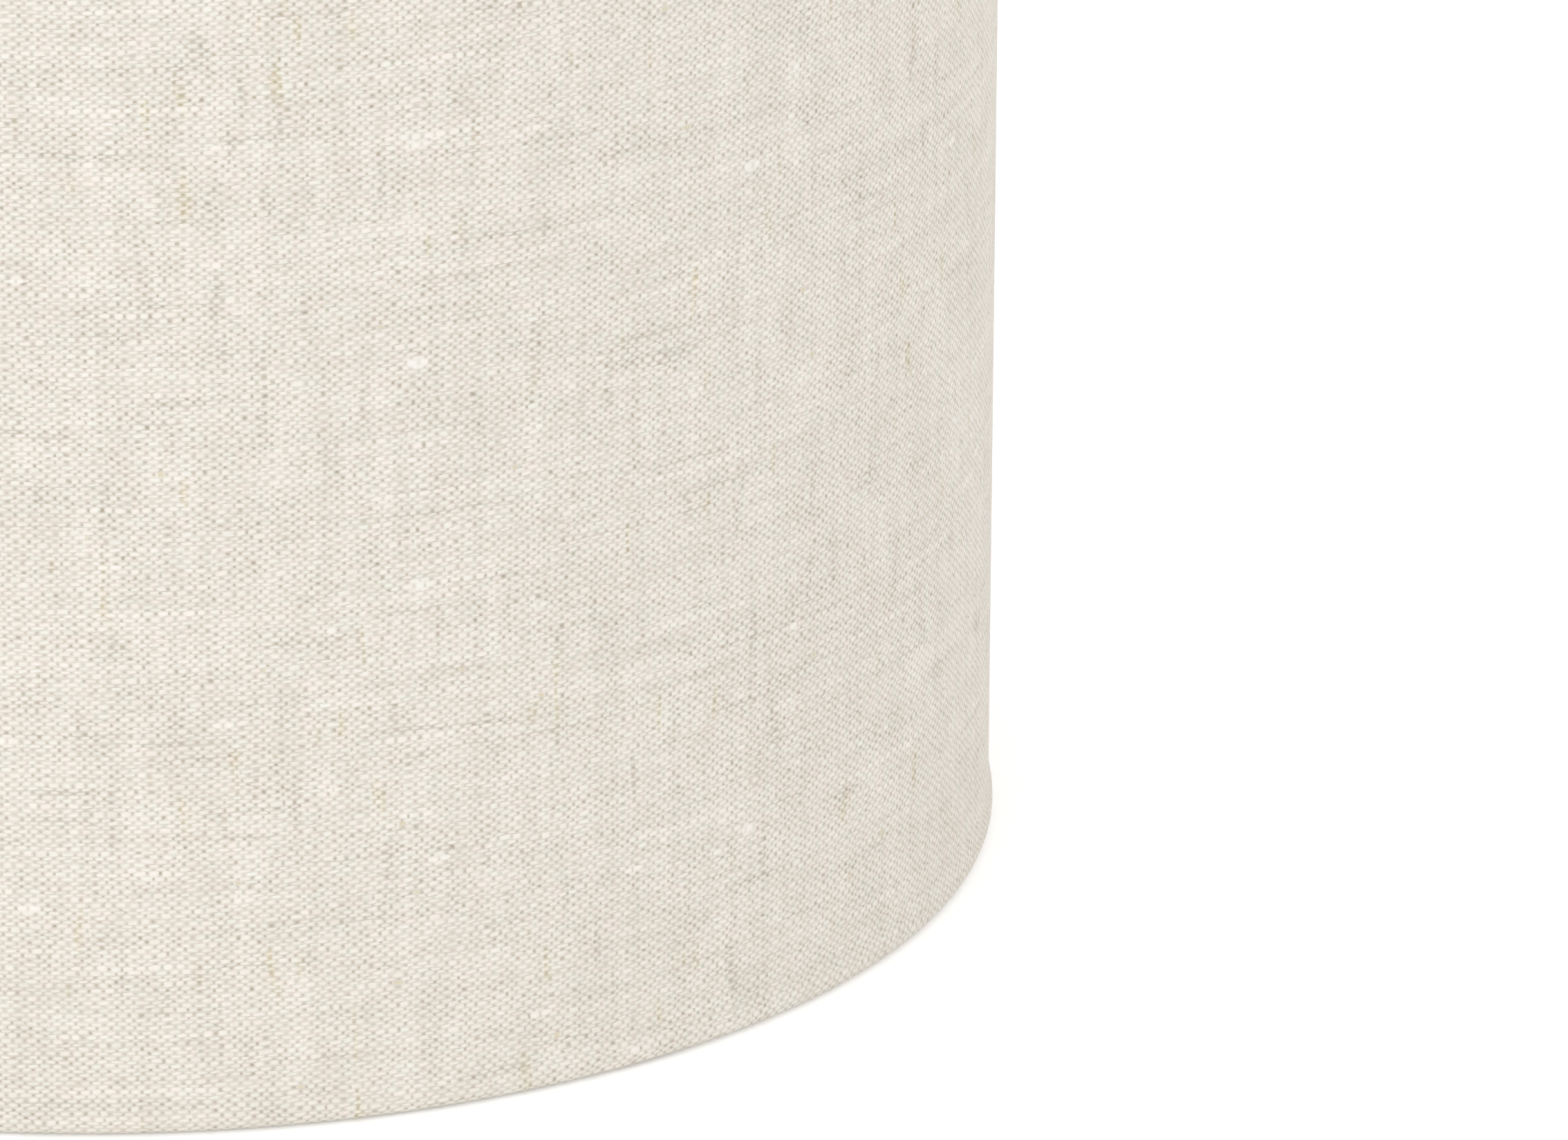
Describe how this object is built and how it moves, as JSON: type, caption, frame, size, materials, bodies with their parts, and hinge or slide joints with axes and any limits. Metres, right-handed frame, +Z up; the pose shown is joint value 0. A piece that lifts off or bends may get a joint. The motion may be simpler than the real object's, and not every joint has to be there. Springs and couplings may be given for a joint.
{
  "type": "lamp shade",
  "caption": "Straight drum lamp shade: natural linen over a plastic liner on wire rings, with a dropped spoke fitter and a loose reducer ring.",
  "frame": {"origin": "centre of the shade in plan, on the plane that its bottom rim rests on", "axes": "+Z up along the shade's axis, from the bottom rim to the top rim where the fitter is; +Y towards spoke 1 and the back, where the seam is"},
  "size_m": [0.2, 0.2, 0.15],
  "materials": {
    "linen": "matte plain-weave linen with slubs",
    "styrene": "satin white sheet",
    "adhesive_tape": "thin double-sided tape",
    "coated_steel": "satin white epoxy coat",
    "reducer_plastic": "moulded white plastic"
  },
  "bodies": {
    "shade": {"linen_cover": "linen", "styrene_liner": "styrene", "seam_tape": "adhesive_tape", "bottom_ring": "coated_steel", "bottom_ring_weld": "coated_steel", "bottom_ring_tape": "adhesive_tape", "top_ring": "coated_steel", "top_ring_weld": "coated_steel", "top_ring_tape": "adhesive_tape", "spoke_1": "coated_steel", "spoke_1_ring_weld": "coated_steel", "spoke_1_fitter_weld": "coated_steel", "spoke_2": "coated_steel", "spoke_2_ring_weld": "coated_steel", "spoke_2_fitter_weld": "coated_steel", "spoke_3": "coated_steel", "spoke_3_ring_weld": "coated_steel", "spoke_3_fitter_weld": "coated_steel", "fitter_ring": "coated_steel"},
    "reducer": {"reducer_ring": "reducer_plastic"}
  },
  "joints": [
    {"name": "reducer_lift", "type": "slide", "parent": "shade", "child": "reducer", "axis": [0, 0, 1], "range_m": [0, 0.036]}
  ]
}
